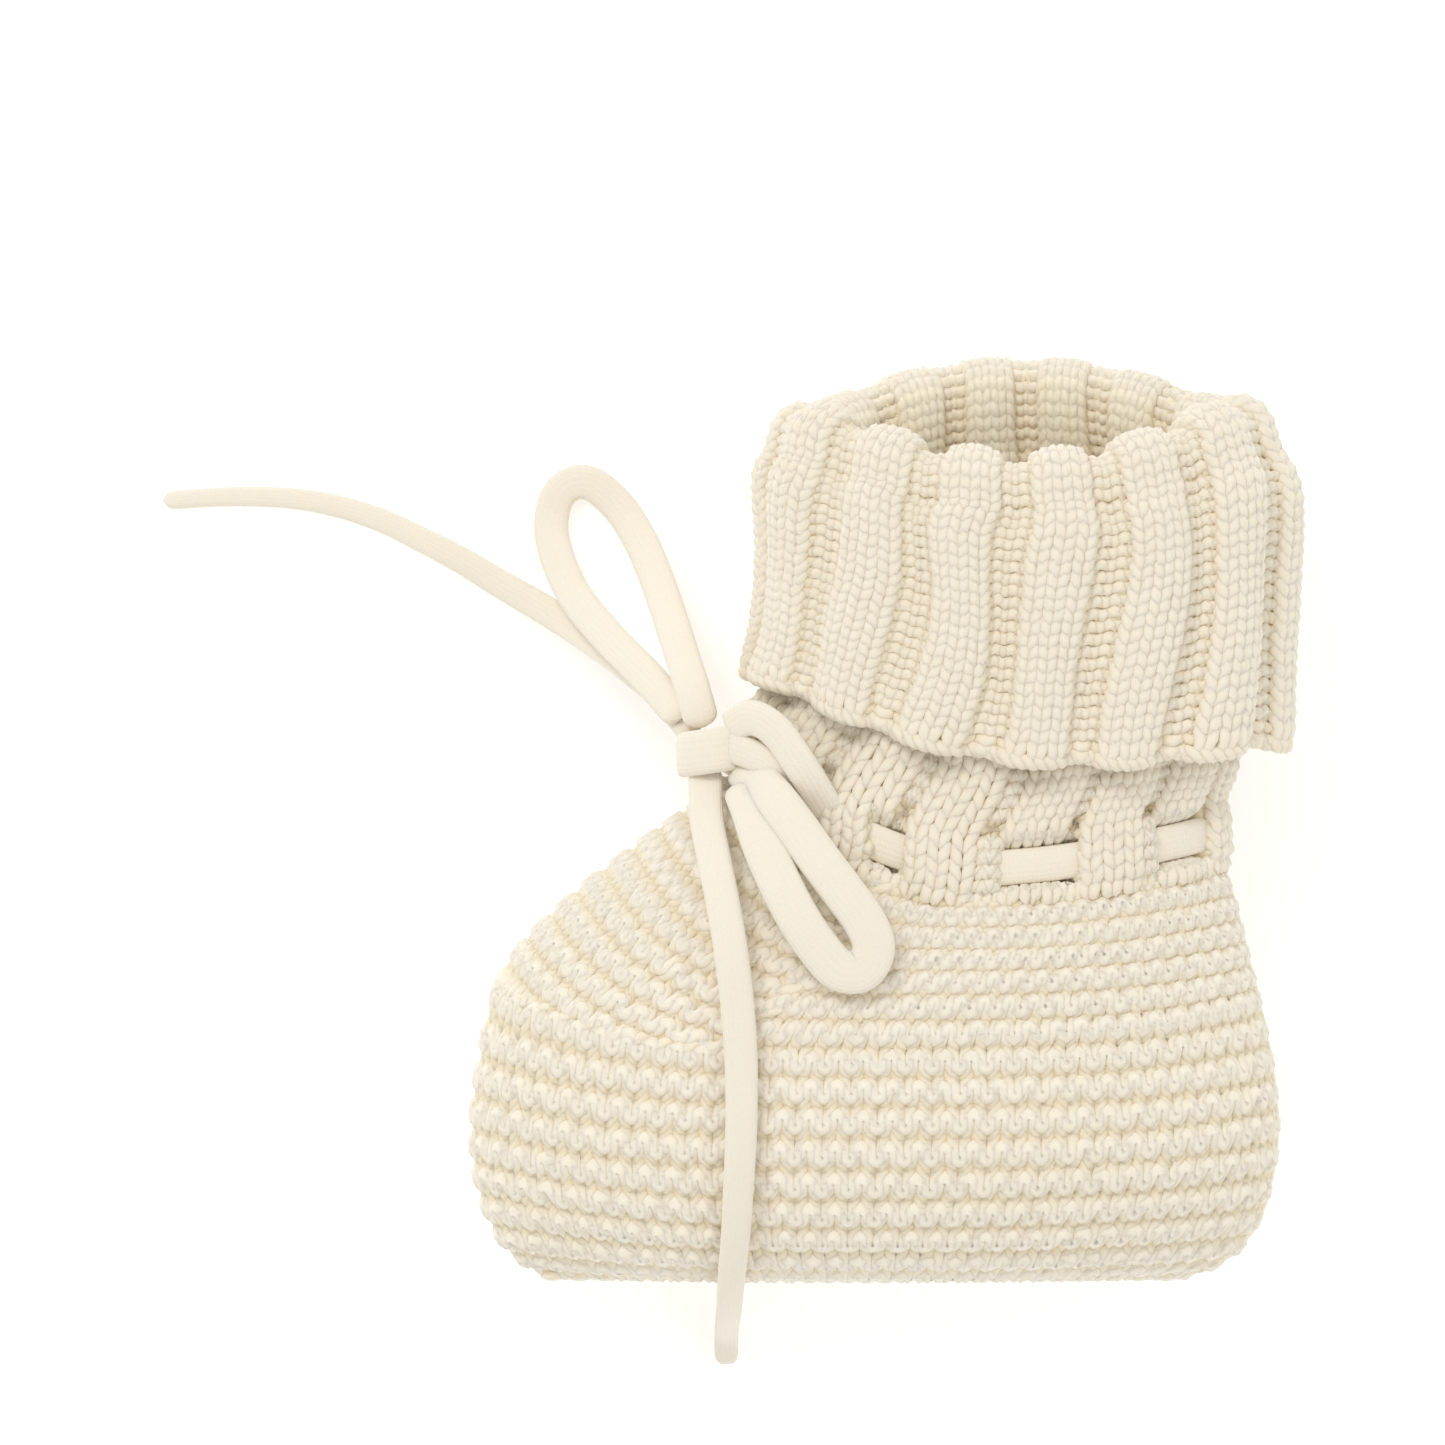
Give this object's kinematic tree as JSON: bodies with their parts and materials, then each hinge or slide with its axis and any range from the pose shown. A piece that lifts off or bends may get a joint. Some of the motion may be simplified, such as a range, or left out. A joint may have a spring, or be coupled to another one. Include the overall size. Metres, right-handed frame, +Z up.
{
  "type": "baby bootie",
  "caption": "Knitted baby bootie with a garter-stitch foot, ribbed turned-down cuff and a flat drawcord laced round the ankle and tied in a bow.",
  "frame": {"origin": "middle of the bootie's box, on the surface that it lies on", "axes": "+Y from the sole to the cuff, +X from the toe to the heel, +Z up off the surface, through the bootie's thickness"},
  "size_m": [0.1427, 0.1269, 0.0395],
  "materials": {
    "garter_knit": "garter-stitch cotton yarn, matte",
    "rib_knit": "ribbed cotton yarn, matte",
    "seam_yarn": "sewn cotton yarn, matte",
    "cord_tape": "flat knitted cotton cord, smooth and matte"
  },
  "bodies": {
    "root": {"foot_near_side": "garter_knit", "foot_far_side": "garter_knit", "instep_panel": "garter_knit", "sole_seam": "seam_yarn", "heel_seam": "seam_yarn", "rib_bridges": "rib_knit", "eyelet_backs": "rib_knit", "leg_rib": "rib_knit", "ankle_cord": "cord_tape", "near_lead": "cord_tape", "far_lead": "cord_tape", "bow_knot": "cord_tape", "upper_loop": "cord_tape", "lower_loop": "cord_tape", "upper_tail": "cord_tape", "lower_tail": "cord_tape"},
    "cuff": {"cuff": "rib_knit", "cuff_edge": "rib_knit"}
  },
  "joints": [
    {"name": "cuff_slide", "type": "slide", "parent": "root", "child": "cuff", "axis": [0, 1, 0], "range_m": [0, 0.025]}
  ]
}
